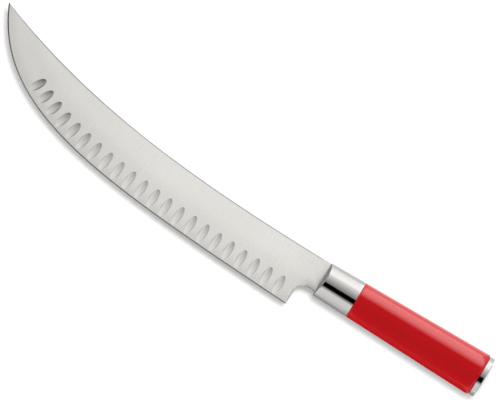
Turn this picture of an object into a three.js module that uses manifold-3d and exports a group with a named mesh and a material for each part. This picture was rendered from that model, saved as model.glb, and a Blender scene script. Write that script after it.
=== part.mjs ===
// A cimeter: a long upswept butcher's knife with a scalloped blade, a steel bolster and an oval handle.
// Millimetres. The knife lies on its right side: +X runs along the handle to its butt, +Y to the spine
// of the blade and +Z up off the table. The origin is under the middle of the knife.
// Within the file, x starts at the bolster's front and y and z at the handle's axis.

import * as THREE from 'three';
import { mergeVertices } from 'three/addons/utils/BufferGeometryUtils.js';
import Module from 'manifold-3d';

// Blade outline
const BLADE_REACH = 256; // tip ahead of the bolster, along the handle's axis
const TIP_RISE = 45.5; // tip above the axis
const TIP_BLUNT = 0.3; // edge left off at the very point
const SPINE_STEP = 0.6; // spine below the bolster's top where they meet
const SPINE_ROOT_PULL = 94; // how far the spine runs on along its direction at each end
const SPINE_TIP_PULL = 85;
const SPINE_TIP_SLOPE = 20.6; // degrees
const EDGE_DROP = 25.5; // edge line below the axis, carried on to the bolster
const EDGE_ROOT_PULL = 146;
const EDGE_ROOT_SLOPE = 2.3; // degrees
const EDGE_TIP_PULL = 70;
const EDGE_TIP_SLOPE = 66.4; // degrees
const HEEL_SETBACK = 11.5; // square heel ahead of the bolster
const NOTCH_RADIUS = 6; // inner corner of the notch that clears the heel from the bolster
const ROOT_UNDERSTEP = 2.3; // root of the blade above the bolster's underside
const ROOT_FLARE = 1.2; // root widens over this length as it meets the bolster
const ROOT_FLARE_DROP = 0.6;

// Blade section, ground from a flat sheet
const BLADE_THICKNESS = 2.5;
const SPINE_EASE = 0.6; // broken corners of the spine
const SPINE_EASE_SHARE = 0.5; // of the section, where that is less
const GRIND_WIDTH = 20; // ground flank, from the edge to the flat
const GRIND_BLEND = 0.22; // how softly the flank runs out into the flat
const BEVEL_WIDTH = 0.8; // sharpened bevel
const BEVEL_SHARE = 0.25; // of the section's width, where that is less
const BEVEL_THICKNESS = 0.5; // across the top of the bevel
const EDGE_LAND = 0.1; // across the cutting edge itself

// Scallops, ground along both flanks and staggered from side to side
const SCALLOP_LENGTH = 13.1;
const SCALLOP_WIDTH = 5.3;
const SCALLOP_DEPTH = 0.42;
const SCALLOP_EDGE_GAP = 1.2;
const SCALLOP_PITCH = 9.5; // along the edge
const SCALLOP_HEEL_GAP = 10.2; // heel to the middle of the first scallop
const SCALLOP_TIP_GAP = 54; // edge left plain behind the tip
const SCALLOP_TIP_LENGTH = 11.7; // the last scallop is shorter and deeper and lies further in
const SCALLOP_TIP_DEPTH = 0.55;
const SCALLOP_TIP_EDGE_GAP = 2.4;
const SCALLOP_RUN_OUT = 66; // stretch over which they shorten

// Tang and the stud on its end
const TANG_HEIGHT = 12;
const TANG_RELIEF = 0.1; // tang below the blade's flats
const TANG_GAP = 0.3; // round the tang and stud in the handle
const STUD_DIAMETER = 6;
const STUD_LENGTH = 34;
const STUD_CHAMFER = 0.8;
const STUD_PROUD = 2; // past the nut
const FORK_DEPTH = 8; // slot in the stud that takes the tang's tongue
const FORK_SLIP = 0.1;

// Handle, an oval that swells towards the butt
const HANDLE_FRONT_HEIGHT = 23.3;
const HANDLE_FRONT_THICKNESS = 19;
const HANDLE_REAR_HEIGHT = 28.2;
const HANDLE_REAR_THICKNESS = 23;
const HANDLE_FIT = 0.15; // between nested handle pieces
const JOINT_EASE = 0.2; // broken corners where bolster and grip meet

// Bolster, a cup with a slotted front wall and two sloping front faces
const BOLSTER_LENGTH = 24.6;
const BOLSTER_FRONT_WALL = 6;
const BOLSTER_WALL = 1.6;
const FACET_FALL = 1.8; // how far each front face falls back at the cheek
const FACET_LAND = 0.25; // flat beside the blade

// Grip skin over its core
const GRIP_LENGTH = 90;
const GRIP_WALL = 3.2;
const GRIP_REAR_ROUND = 1.8;
const KEY_COUNT = 2; // rings that lock the skin to the core
const KEY_WIDTH = 5;
const KEY_DEPTH = 0.8;

// Clamp stack behind the core
const WASHER_DIAMETER = 12;
const WASHER_THICKNESS = 1.6;
const SPRING_DIAMETER = 11;
const SPRING_THICKNESS = 1.6;
const SPRING_SLIT = 1.2;
const SPRING_SLIT_SKEW = 22.5; // degrees
const NUT_ACROSS_FLATS = 10;
const NUT_HEIGHT = 5;
const NUT_CHAMFER = 0.6;
const THREAD_SLIP = 0.1;
const POCKET_GAP = 2.4; // stud's end to the cap's spigot

// End cap and its sealing ring
const CAP_RIM = 3.2;
const CAP_DOME = 1;
const CAP_STEP = 0.75; // cap inside the grip's outline
const CAP_ROUND = 0.35;
const CAP_SPIGOT = 8;
const CAP_SPIGOT_WALL = 2.6;
const SEAL_SECTION = 1.3;
const SEAL_GAP = 0.1;

// Facets and construction
const BLADE_STATIONS = 50;
const STATION_CROWDING = 1.35; // stations draw together towards the tip
const BLEND_STEPS = [-1, -0.5, 0, 0.5, 1]; // across the flank's run-out, as shares of its reach
const OVAL_SIDES = 48;
const ROUND_SIDES = 32;
const ROUND_STEPS = 3; // per rounded corner
const DOME_STEPS = 4;
const DOME_FLAT = 0.15; // share of the dome left flat at its middle
const SEAL_SIDES = 8;
const SCALLOP_SIDES = 14;
const SCALLOP_RINGS = [0.4, 0.75, 1.2]; // of the scallop's half width
const OVERRUN = 3; // cutters pass the faces they cut
const WELD = 1e-5; // points this close are one
const SEARCH_END = 1e-9; // where a search along a curve stops

// Places along the handle
const handleRear = BOLSTER_LENGTH + GRIP_LENGTH;
const spigotFront = handleRear - CAP_SPIGOT;
const studEnd = spigotFront - POCKET_GAP;
const nutFront = studEnd - STUD_PROUD - NUT_HEIGHT;
const springFront = nutFront - SPRING_THICKNESS;
const coreRear = springFront - WASHER_THICKNESS;
const studFront = studEnd - STUD_LENGTH;
const tangEnd = studFront + FORK_DEPTH;
const tangThickness = BLADE_THICKNESS - 2 * TANG_RELIEF;

const wasm = await Module();
wasm.setup();

// Solids

function solid(geometry) {
  geometry.deleteAttribute('normal');
  geometry.deleteAttribute('uv');
  const merged = mergeVertices(geometry, WELD);
  const corners = merged.index.array;
  const triangles = [];
  for (let i = 0; i < corners.length; i += 3) {
    const [a, b, c] = corners.slice(i, i + 3);
    if (a !== b && b !== c && c !== a) triangles.push(a, b, c);
  }
  const vertProperties = new Float32Array(merged.getAttribute('position').array);
  return new wasm.Manifold(new wasm.Mesh({ numProp: 3, vertProperties, triVerts: new Uint32Array(triangles) }));
}

// Skins a row of rings, each with as many points. An open row is capped at both ends.
function loft(rings, closed = false) {
  const sides = rings[0].length;
  const index = [];
  const spans = closed ? rings.length : rings.length - 1;
  for (let ring = 0; ring < spans; ring++) {
    const here = ring * sides;
    const next = ((ring + 1) % rings.length) * sides;
    for (let side = 0; side < sides; side++) {
      const beside = (side + 1) % sides;
      index.push(here + side, here + beside, next + beside);
      index.push(here + side, next + beside, next + side);
    }
  }
  const last = (rings.length - 1) * sides;
  for (let side = 1; side < sides - 1 && !closed; side++) {
    index.push(0, side + 1, side);
    index.push(last, last + side, last + side + 1);
  }
  return solid(new THREE.BufferGeometry().setFromPoints(rings.flat()).setIndex(index));
}

// Revolves a profile of [x, radius] points about the handle's axis.
function turned(profile) {
  const points = profile.map(([x, radius]) => new THREE.Vector2(radius, x));
  return solid(new THREE.LatheGeometry(points, ROUND_SIDES).rotateZ(-Math.PI / 2));
}

function washerRing(front, thickness, outerDiameter, innerDiameter) {
  const rear = front + thickness;
  const outer = outerDiameter / 2;
  const inner = innerDiameter / 2;
  return turned([[front, inner], [front, outer], [rear, outer], [rear, inner], [front, inner]]);
}

// A block on the handle's axis from one x to another.
function block(front, rear, height, thickness) {
  const box = new THREE.BoxGeometry(rear - front, height, thickness);
  return solid(box.translate((front + rear) / 2, 0, 0));
}

// An outline in the blade's plane, as thick as given and centred on that plane.
function plate(outline, thickness) {
  const extruded = new THREE.ExtrudeGeometry(outline, { depth: thickness, bevelEnabled: false });
  return solid(extruded.translate(0, 0, -thickness / 2));
}

// Blade

const radians = THREE.MathUtils.degToRad;
const tip = new THREE.Vector2(-BLADE_REACH, TIP_RISE);

// A blade curve from the bolster to the tip, leaving each end along a slope below the tip's side.
function bladeCurve(root, rootPull, rootSlope, tipPull, tipSlope) {
  const rootAim = new THREE.Vector2(-Math.cos(rootSlope), Math.sin(rootSlope));
  const tipAim = new THREE.Vector2(Math.cos(tipSlope), -Math.sin(tipSlope));
  const rootHandle = rootAim.multiplyScalar(rootPull).add(root);
  const tipHandle = tipAim.multiplyScalar(tipPull).add(tip);
  return new THREE.CubicBezierCurve(root, rootHandle, tipHandle, tip);
}

const spineRoot = new THREE.Vector2(0, HANDLE_FRONT_HEIGHT / 2 - SPINE_STEP);
const edgeRoot = new THREE.Vector2(0, -EDGE_DROP);
const spine = bladeCurve(spineRoot, SPINE_ROOT_PULL, 0, SPINE_TIP_PULL, radians(SPINE_TIP_SLOPE));
const edge = bladeCurve(
  edgeRoot, EDGE_ROOT_PULL, radians(EDGE_ROOT_SLOPE), EDGE_TIP_PULL, radians(EDGE_TIP_SLOPE));
const edgeLength = edge.getLength();

// The edge's point at a length from the bolster, with the direction to the tip and the one into the blade.
function edgeFrame(length) {
  const point = edge.getPointAt(length / edgeLength);
  const along = edge.getTangentAt(length / edgeLength);
  return { point, along, inward: new THREE.Vector2(along.y, -along.x) };
}

// Length along the edge at which the heel's square face meets it.
function edgeLengthAtHeel() {
  let [low, high] = [0, edgeLength];
  while (high - low > SEARCH_END) {
    const middle = (low + high) / 2;
    if (edgeFrame(middle).point.x > -HEEL_SETBACK) low = middle;
    else high = middle;
  }
  return low;
}

// Width of the blade from an edge frame to the spine, square to the edge.
function widthAt(frame) {
  const toSpine = (step) => {
    const onSpine = step < 0 ? new THREE.Vector2(-step * BLADE_REACH, spineRoot.y) : spine.getPoint(step);
    return onSpine.sub(frame.point);
  };
  let [low, high] = [-1, 1];
  while (high - low > SEARCH_END) {
    const middle = (low + high) / 2;
    if (toSpine(middle).dot(frame.along) < 0) low = middle;
    else high = middle;
  }
  return toSpine(low).dot(frame.inward);
}

// Half the blade's thickness at a distance in from the edge: bevel, ground flank, then the sheet's flat.
function halfThickness(distance) {
  const flat = BLADE_THICKNESS / 2;
  const shoulder = BEVEL_THICKNESS / 2;
  if (distance < BEVEL_WIDTH) {
    return THREE.MathUtils.mapLinear(distance, 0, BEVEL_WIDTH, EDGE_LAND / 2, shoulder);
  }
  const ground = THREE.MathUtils.mapLinear(distance, BEVEL_WIDTH, GRIND_WIDTH, shoulder, flat);
  const share = THREE.MathUtils.clamp(0.5 + (flat - ground) / (2 * GRIND_BLEND), 0, 1);
  return THREE.MathUtils.lerp(flat, ground, share) - GRIND_BLEND * share * (1 - share);
}

// Distances in from the edge at which a section as wide as given has its points.
function sectionSteps(width) {
  const bevel = Math.min(BEVEL_WIDTH, BEVEL_SHARE * width);
  const ease = Math.min(SPINE_EASE, SPINE_EASE_SHARE * Math.min(width, halfThickness(width)));
  const flankSlope = (BLADE_THICKNESS - BEVEL_THICKNESS) / 2 / (GRIND_WIDTH - BEVEL_WIDTH);
  const blend = GRIND_BLEND / flankSlope;
  const shrink = Math.min(1, (width - ease - bevel) / (GRIND_WIDTH + 2 * blend - BEVEL_WIDTH));
  const flank = BLEND_STEPS.map((step) => {
    return bevel + (GRIND_WIDTH + step * blend - BEVEL_WIDTH) * shrink;
  });
  return [0, bevel, ...flank, width - ease, width];
}

// The blade's section square to the edge, from the spine down its left side and back up its right.
function bladeSection(length) {
  const frame = edgeFrame(length);
  const width = widthAt(frame);
  const steps = sectionSteps(width);
  const ease = width - steps.at(-2);
  const left = steps.map((distance) => {
    const half = distance === width ? halfThickness(width) - ease : halfThickness(distance);
    const point = frame.inward.clone().multiplyScalar(distance).add(frame.point);
    return new THREE.Vector3(point.x, point.y, half);
  });
  const right = left.map((point) => new THREE.Vector3(point.x, point.y, -point.z));
  return [...left.reverse(), ...right];
}

function bladeBody() {
  const sections = [];
  for (let station = 0; station <= BLADE_STATIONS; station++) {
    const share = Math.pow(station / BLADE_STATIONS, STATION_CROWDING);
    sections.push(bladeSection((edgeLength - TIP_BLUNT) * (1 - share)));
  }
  return loft(sections);
}

// The length and depth of the scallop at a length along the edge, and its gap to the edge.
function scallopSize(at) {
  const share = THREE.MathUtils.clamp((edgeLength - SCALLOP_TIP_GAP - at) / SCALLOP_RUN_OUT, 0, 1);
  return {
    length: THREE.MathUtils.lerp(SCALLOP_TIP_LENGTH, SCALLOP_LENGTH, share),
    depth: THREE.MathUtils.lerp(SCALLOP_TIP_DEPTH, SCALLOP_DEPTH, share),
    gap: THREE.MathUtils.lerp(SCALLOP_TIP_EDGE_GAP, SCALLOP_EDGE_GAP, share),
  };
}

// The dish that one pass of the scallop wheel leaves, on the XY plane with its length along Y.
function scallopTool(length, depth) {
  const rise = (radius) => depth * (radius * radius - 1);
  const dish = [0, ...SCALLOP_RINGS].map((radius) => new THREE.Vector2(radius, rise(radius)));
  const rim = SCALLOP_RINGS.at(-1);
  const lid = [new THREE.Vector2(rim, BLADE_THICKNESS), new THREE.Vector2(0, BLADE_THICKNESS)];
  const tool = new THREE.LatheGeometry([...dish, ...lid], SCALLOP_SIDES).rotateX(Math.PI / 2);
  return tool.scale(SCALLOP_WIDTH / 2, length / 2, 1);
}

// Where a scallop lies on a flank (side 1 for the left, -1 for the right) at a length along the edge.
function scallopPlace(at, side) {
  const { point, inward } = edgeFrame(at);
  const { length, gap } = scallopSize(at);
  const lower = halfThickness(gap);
  const upper = halfThickness(gap + length);
  const middle = inward.clone().multiplyScalar(gap + length / 2).add(point);
  const slope = side * (upper - lower) / length;
  const lengthwise = new THREE.Vector3(inward.x, inward.y, slope).normalize();
  const level = new THREE.Vector3(inward.y, -inward.x, 0);
  const outward = level.cross(lengthwise).multiplyScalar(side);
  const across = lengthwise.clone().cross(outward);
  const turn = new THREE.Matrix4().makeBasis(across, lengthwise, outward);
  return turn.setPosition(middle.x, middle.y, side * (lower + upper) / 2);
}

// What is cut off the ground blade: all behind the bolster's front plane, and the notch behind the heel.
function rootCutter() {
  const beyond = BLADE_REACH;
  const notchTop = ROOT_UNDERSTEP - HANDLE_FRONT_HEIGHT / 2;
  const outline = new THREE.Shape();
  outline.moveTo(-HEEL_SETBACK, -beyond);
  outline.lineTo(-HEEL_SETBACK, notchTop - NOTCH_RADIUS);
  outline.absarc(NOTCH_RADIUS - HEEL_SETBACK, notchTop - NOTCH_RADIUS, NOTCH_RADIUS, Math.PI, Math.PI / 2, true);
  outline.lineTo(-ROOT_FLARE, notchTop);
  outline.lineTo(0, notchTop - ROOT_FLARE_DROP);
  outline.lineTo(0, beyond);
  outline.lineTo(beyond, beyond);
  outline.lineTo(beyond, -beyond);
  return plate(outline, 2 * BLADE_THICKNESS);
}

function tang() {
  const tongueHeight = STUD_DIAMETER - tangThickness / 2;
  const outline = new THREE.Shape([
    new THREE.Vector2(-OVERRUN, TANG_HEIGHT / 2),
    new THREE.Vector2(-OVERRUN, -TANG_HEIGHT / 2),
    new THREE.Vector2(BOLSTER_LENGTH, -TANG_HEIGHT / 2),
    new THREE.Vector2(studFront, -tongueHeight / 2),
    new THREE.Vector2(tangEnd, -tongueHeight / 2),
    new THREE.Vector2(tangEnd, tongueHeight / 2),
    new THREE.Vector2(studFront, tongueHeight / 2),
    new THREE.Vector2(BOLSTER_LENGTH, TANG_HEIGHT / 2),
  ]);
  return plate(outline, tangThickness);
}

function makeBlade() {
  const first = edgeLengthAtHeel() + SCALLOP_HEEL_GAP;
  let blade = bladeBody();
  for (const [side, stagger] of [[1, 0], [-1, SCALLOP_PITCH / 2]]) {
    for (let at = first + stagger; at < edgeLength - SCALLOP_TIP_GAP; at += SCALLOP_PITCH) {
      const { length, depth } = scallopSize(at);
      const tool = scallopTool(length, depth).applyMatrix4(scallopPlace(at, side));
      blade = blade.subtract(solid(tool));
    }
  }
  return blade.subtract(rootCutter()).add(tang());
}

// Handle

// A ring of the handle's oval at x, drawn in by an inset all round and then shrunk towards the axis.
function ovalRing(x, inset = 0, shrink = 1) {
  const share = Math.min(x / handleRear, 1);
  const height = THREE.MathUtils.lerp(HANDLE_FRONT_HEIGHT, HANDLE_REAR_HEIGHT, share) / 2 - inset;
  const thickness = THREE.MathUtils.lerp(HANDLE_FRONT_THICKNESS, HANDLE_REAR_THICKNESS, share) / 2 - inset;
  return Array.from({ length: OVAL_SIDES }, (_, side) => {
    const turn = (side / OVAL_SIDES) * 2 * Math.PI;
    return new THREE.Vector3(x, shrink * height * Math.cos(turn), shrink * thickness * Math.sin(turn));
  });
}

// Rings round a corner at the rear of an oval piece, from its side to its end face.
function roundedRear(rear, inset, radius) {
  return Array.from({ length: ROUND_STEPS + 1 }, (_, step) => {
    const turn = (step / ROUND_STEPS) * Math.PI / 2;
    return ovalRing(rear - radius + radius * Math.sin(turn), inset + radius - radius * Math.cos(turn));
  });
}

// Rings of the grooves that key the grip's skin to its core.
function keyRings(inset, width) {
  const spacing = (coreRear - BOLSTER_LENGTH) / (KEY_COUNT + 1);
  return Array.from({ length: KEY_COUNT }, (_, key) => {
    const front = BOLSTER_LENGTH + (key + 1) * spacing - width / 2;
    const rear = front + width;
    const floor = inset + KEY_DEPTH;
    return [ovalRing(front, inset), ovalRing(front, floor), ovalRing(rear, floor), ovalRing(rear, inset)];
  }).flat();
}

// One of the bolster's two front faces, sloping back from beside the blade to the cheek.
function facetCutter(side) {
  const land = BLADE_THICKNESS / 2 + FACET_LAND;
  const cheek = HANDLE_FRONT_THICKNESS / 2;
  const reach = cheek + OVERRUN;
  const fall = FACET_FALL * (reach - land) / (cheek - land);
  const outline = new THREE.Shape([
    new THREE.Vector2(-OVERRUN, -side * land),
    new THREE.Vector2(0, -side * land),
    new THREE.Vector2(fall, -side * reach),
    new THREE.Vector2(-OVERRUN, -side * reach),
  ]);
  const width = HANDLE_FRONT_HEIGHT + 2 * OVERRUN;
  const extruded = new THREE.ExtrudeGeometry(outline, { depth: width, bevelEnabled: false });
  return solid(extruded.translate(0, 0, -width / 2).rotateX(Math.PI / 2));
}

function tangSlot(front, rear) {
  return block(front, rear, TANG_HEIGHT + 2 * TANG_GAP, tangThickness + 2 * TANG_GAP);
}

function makeBolster() {
  const cup = loft([
    ovalRing(0),
    ovalRing(BOLSTER_LENGTH - JOINT_EASE),
    ovalRing(BOLSTER_LENGTH, JOINT_EASE),
  ]);
  const hollow = loft([
    ovalRing(BOLSTER_FRONT_WALL, BOLSTER_WALL),
    ovalRing(BOLSTER_LENGTH + OVERRUN, BOLSTER_WALL),
  ]);
  const slot = tangSlot(-OVERRUN, BOLSTER_FRONT_WALL + OVERRUN);
  return cup.subtract(hollow).subtract(slot).subtract(facetCutter(1)).subtract(facetCutter(-1));
}

function makeGripCore() {
  const spigotInset = BOLSTER_WALL + HANDLE_FIT;
  const bodyInset = GRIP_WALL + HANDLE_FIT;
  const body = loft([
    ovalRing(BOLSTER_FRONT_WALL, spigotInset),
    ovalRing(BOLSTER_LENGTH, spigotInset),
    ovalRing(BOLSTER_LENGTH, bodyInset),
    ...keyRings(bodyInset, KEY_WIDTH),
    ovalRing(coreRear, bodyInset),
  ]);
  const boreRadius = STUD_DIAMETER / 2 + TANG_GAP;
  const boreFront = studFront - TANG_GAP;
  const boreRear = coreRear + OVERRUN;
  const bore = turned([[boreFront, 0], [boreFront, boreRadius], [boreRear, boreRadius], [boreRear, 0]]);
  return body.subtract(tangSlot(BOLSTER_FRONT_WALL - OVERRUN, studFront)).subtract(bore);
}

function makeGrip() {
  const skin = loft([
    ovalRing(BOLSTER_LENGTH, JOINT_EASE),
    ovalRing(BOLSTER_LENGTH + JOINT_EASE),
    ...roundedRear(handleRear, 0, GRIP_REAR_ROUND),
  ]);
  const hollow = loft([
    ovalRing(BOLSTER_LENGTH - OVERRUN, GRIP_WALL),
    ...keyRings(GRIP_WALL, KEY_WIDTH - 2 * HANDLE_FIT),
    ovalRing(handleRear, GRIP_WALL),
    ovalRing(handleRear + OVERRUN, GRIP_WALL),
  ]);
  return skin.subtract(hollow);
}

function makeTangStud() {
  const radius = STUD_DIAMETER / 2;
  const rod = turned([
    [studFront, 0],
    [studFront, radius],
    [studEnd - STUD_CHAMFER, radius],
    [studEnd, radius - STUD_CHAMFER],
    [studEnd, 0],
  ]);
  const fork = block(studFront - OVERRUN, tangEnd, 2 * STUD_DIAMETER, tangThickness + 2 * FORK_SLIP);
  return rod.subtract(fork);
}

const threadBore = STUD_DIAMETER + 2 * THREAD_SLIP;

function makeFlatWasher() {
  return washerRing(coreRear, WASHER_THICKNESS, WASHER_DIAMETER, threadBore);
}

function makeSpringWasher() {
  const ring = washerRing(springFront, SPRING_THICKNESS, SPRING_DIAMETER, threadBore);
  const slit = new THREE.BoxGeometry(2 * SPRING_THICKNESS, SPRING_DIAMETER, SPRING_SLIT);
  const skewed = slit.rotateY(radians(SPRING_SLIT_SKEW));
  return ring.subtract(solid(skewed.translate(springFront + SPRING_THICKNESS / 2, SPRING_DIAMETER / 2, 0)));
}

function makeClampNut() {
  const cornerRadius = NUT_ACROSS_FLATS / Math.sqrt(3);
  const corners = Array.from({ length: 6 }, (_, corner) => {
    const turn = (corner / 6) * 2 * Math.PI;
    return new THREE.Vector2(cornerRadius * Math.cos(turn), cornerRadius * Math.sin(turn));
  });
  const hexagon = new THREE.ExtrudeGeometry(
    new THREE.Shape(corners), { depth: NUT_HEIGHT, bevelEnabled: false });
  const blank = solid(hexagon.rotateY(Math.PI / 2).translate(nutFront, 0, 0));
  const rear = nutFront + NUT_HEIGHT;
  const faceRadius = NUT_ACROSS_FLATS / 2;
  const coneRadius = faceRadius + NUT_CHAMFER * Math.sqrt(3);
  const chamfered = turned([
    [nutFront, 0],
    [nutFront, faceRadius],
    [nutFront + NUT_CHAMFER, coneRadius],
    [rear - NUT_CHAMFER, coneRadius],
    [rear, faceRadius],
    [rear, 0],
  ]);
  const bore = turned([
    [nutFront - OVERRUN, 0],
    [nutFront - OVERRUN, threadBore / 2],
    [rear + OVERRUN, threadBore / 2],
    [rear + OVERRUN, 0],
  ]);
  return blank.intersect(chamfered).subtract(bore);
}

const spigotInset = GRIP_WALL + HANDLE_FIT;
const sealMiddle = handleRear - CAP_SPIGOT / 2;
const sealFloor = spigotInset + SEAL_SECTION + SEAL_GAP;

function makeEndCap() {
  const grooveFront = sealMiddle - SEAL_SECTION / 2 - SEAL_GAP;
  const grooveRear = sealMiddle + SEAL_SECTION / 2 + SEAL_GAP;
  const rimRear = handleRear + CAP_RIM;
  const dome = Array.from({ length: DOME_STEPS }, (_, step) => {
    const shrink = THREE.MathUtils.lerp(1, DOME_FLAT, (step + 1) / DOME_STEPS);
    return ovalRing(rimRear + CAP_DOME * (1 - shrink * shrink), CAP_STEP + CAP_ROUND, shrink);
  });
  const cap = loft([
    ovalRing(spigotFront, spigotInset),
    ovalRing(grooveFront, spigotInset),
    ovalRing(grooveFront, sealFloor),
    ovalRing(grooveRear, sealFloor),
    ovalRing(grooveRear, spigotInset),
    ovalRing(handleRear, spigotInset),
    ovalRing(handleRear, CAP_STEP),
    ...roundedRear(rimRear, CAP_STEP, CAP_ROUND),
    ...dome,
  ]);
  const hollowInset = spigotInset + CAP_SPIGOT_WALL;
  return cap.subtract(loft([ovalRing(spigotFront - OVERRUN, hollowInset), ovalRing(handleRear, hollowInset)]));
}

function makeCapSeal() {
  const radius = SEAL_SECTION / 2;
  const middleInset = sealFloor - SEAL_GAP - radius;
  const rings = Array.from({ length: SEAL_SIDES }, (_, side) => {
    const turn = (side / SEAL_SIDES) * 2 * Math.PI;
    return ovalRing(sealMiddle - radius * Math.cos(turn), middleInset - radius * Math.sin(turn));
  });
  return loft(rings, true);
}

// Assembly

function mesh(name, body, material) {
  const { vertProperties, triVerts } = body.getMesh();
  const geometry = new THREE.BufferGeometry();
  geometry.setAttribute('position', new THREE.BufferAttribute(vertProperties, 3));
  geometry.setIndex(new THREE.BufferAttribute(triVerts, 1));
  geometry.computeVertexNormals();
  const piece = new THREE.Mesh(geometry, new THREE.MeshStandardMaterial(material));
  piece.name = name;
  return piece;
}

const satinSteel = { color: 0xdedcd8, roughness: 0.38, metalness: 1 };
const polishedSteel = { color: 0xe4e2df, roughness: 0.1, metalness: 1 };
const zincSteel = { color: 0xb9bcc0, roughness: 0.35, metalness: 1 };
const redPlastic = { color: 0xbd131b, roughness: 0.3, metalness: 0 };
const blackNylon = { color: 0x1b1b1d, roughness: 0.6, metalness: 0 };
const sealRubber = { color: 0x101010, roughness: 0.8, metalness: 0 };

const knife = new THREE.Group();
knife.add(
  mesh('blade', makeBlade(), satinSteel),
  mesh('bolster', makeBolster(), polishedSteel),
  mesh('grip_core', makeGripCore(), blackNylon),
  mesh('grip', makeGrip(), redPlastic),
  mesh('tang_stud', makeTangStud(), zincSteel),
  mesh('flat_washer', makeFlatWasher(), zincSteel),
  mesh('spring_washer', makeSpringWasher(), zincSteel),
  mesh('clamp_nut', makeClampNut(), zincSteel),
  mesh('cap_seal', makeCapSeal(), sealRubber),
  mesh('end_cap', makeEndCap(), polishedSteel),
);

const box = new THREE.Box3().setFromObject(knife);
const middle = box.getCenter(new THREE.Vector3());
knife.position.set(-middle.x, -middle.y, -box.min.z);

export default knife;
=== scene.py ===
import math

import bmesh
import bpy
import numpy as np
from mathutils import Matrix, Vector


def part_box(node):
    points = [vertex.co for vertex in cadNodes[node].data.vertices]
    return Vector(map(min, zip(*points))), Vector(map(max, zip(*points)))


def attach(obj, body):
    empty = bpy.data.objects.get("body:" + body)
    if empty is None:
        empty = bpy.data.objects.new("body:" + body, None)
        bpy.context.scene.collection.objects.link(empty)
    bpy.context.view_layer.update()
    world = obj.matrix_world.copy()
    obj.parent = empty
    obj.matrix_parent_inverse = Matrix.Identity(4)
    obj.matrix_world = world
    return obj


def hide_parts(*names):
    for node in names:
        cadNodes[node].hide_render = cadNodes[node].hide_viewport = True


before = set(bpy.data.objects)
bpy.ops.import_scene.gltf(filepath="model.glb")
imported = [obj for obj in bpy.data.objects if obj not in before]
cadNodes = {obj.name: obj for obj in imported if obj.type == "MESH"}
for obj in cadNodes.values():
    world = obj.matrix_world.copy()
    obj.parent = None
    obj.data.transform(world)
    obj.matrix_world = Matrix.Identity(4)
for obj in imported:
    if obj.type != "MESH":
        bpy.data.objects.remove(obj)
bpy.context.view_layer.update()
scene = bpy.context.scene
mm = 0.001

# Shapes below are in millimetres from the bolster's front, on the handle's axis, as in the CAD source.
bolsterLow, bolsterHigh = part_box("bolster")
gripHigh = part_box("grip")[1]
axisStart = Vector((bolsterLow.x, (bolsterLow.y + bolsterHigh.y) / 2, (bolsterLow.z + bolsterHigh.z) / 2))
bolsterLength = (bolsterHigh.x - bolsterLow.x) / mm
handleRear = (gripHigh.x - bolsterLow.x) / mm
print("frame loaded, bolster front at", [round(v / mm, 2) for v in axisStart])


def toLinear(hexColour):
    channels = [int(hexColour[i:i + 2], 16) / 255 for i in (0, 2, 4)]
    return [c / 12.92 if c <= 0.04045 else ((c + 0.055) / 1.055) ** 2.4 for c in channels] + [1]


def grey(level):
    return [level, level, level, 1]


# Adds a node to any tree. Settings are its own properties. Links are its inputs, each a value, a socket,
# a node whose first output in use is meant, or a tuple of nodes for an input that takes several.
def addNode(tree, kind, links=None, **settings):
    node = tree.nodes.new(kind)
    for name, value in settings.items():
        setattr(node, name, value)
    for name, value in (links or {}).items():
        target = next(s for i, s in enumerate(node.inputs) if s.enabled and name in (i, s.name))
        joined = isinstance(value, tuple) and isinstance(value[0], bpy.types.Node)
        for single in value if joined else (value,):
            if isinstance(single, bpy.types.Node):
                single = next(s for s in single.outputs if s.enabled)
            if isinstance(single, bpy.types.NodeSocket):
                tree.links.new(single, target)
            else:
                target.default_value = single
    return node


# A pair of values as the two ends of a range, of what is read ("From") or of what is given ("To").
def ends(side, pair):
    return {side + " Min": pair[0], side + " Max": pair[1]}


def startMaterial(name):
    material = bpy.data.materials.new(name)
    material.use_nodes = True
    material.node_tree.nodes.clear()
    return material, material.node_tree


def closeMaterial(tree, sockets):
    shader = addNode(tree, "ShaderNodeBsdfPrincipled", sockets)
    addNode(tree, "ShaderNodeOutputMaterial", {"Surface": shader})


# Materials

noiseReach = (0.3, 0.7)  # most of a noise's values lie between these
bladeFinish = dict(
    bright="e2e1dd",
    dull="dbd9d4",
    # painted shade: the flank's tone by the edge
    edge="d3d1cd",
    edgeReach=(0.8, 9.0),  # mm in from the edge; the painted shade by the edge fades out over this
    endShade=0.915,  # painted shade: the flats are a little darker at the root, beside the bolster, and at the tip
    rootFade=(2.0, 24.0),  # mm along the edge
    tipFade=(115.0, 195.0),  # mm along the edge
    # painted shade in the scallops' hollows
    scallop="d0cecb",
    scallopRim=(0.005, 0.03),  # mm under the flank, where the scallops' roughness and painted shade take over
    tipScallop="9a9894",
    tipReach=(145.0, 222.0),  # mm along the edge, where the scallops' painted shade deepens
    tipDepth=(0.0, 13.5),  # mm in from the edge, over which they do
    bevelReach=(0.8, 1.0),  # mm in from the edge, where the bevel ends
    bevelShade=0.22,  # painted shade on it, darker towards the tip
    bevelFade=(219.0, 265.0),  # mm along the edge
    roughness=(0.26, 0.3),
    bevelRoughness=0.22,
    scallopRoughness=0.23,
    streakWidth=0.45,  # mm; the real grinding marks are about 0.05 and are drawn coarser to show
    streakRun=24.0,  # mm
    streakHeight=0.0006,  # mm
    cloudSize=38.0,  # mm
)
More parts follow.
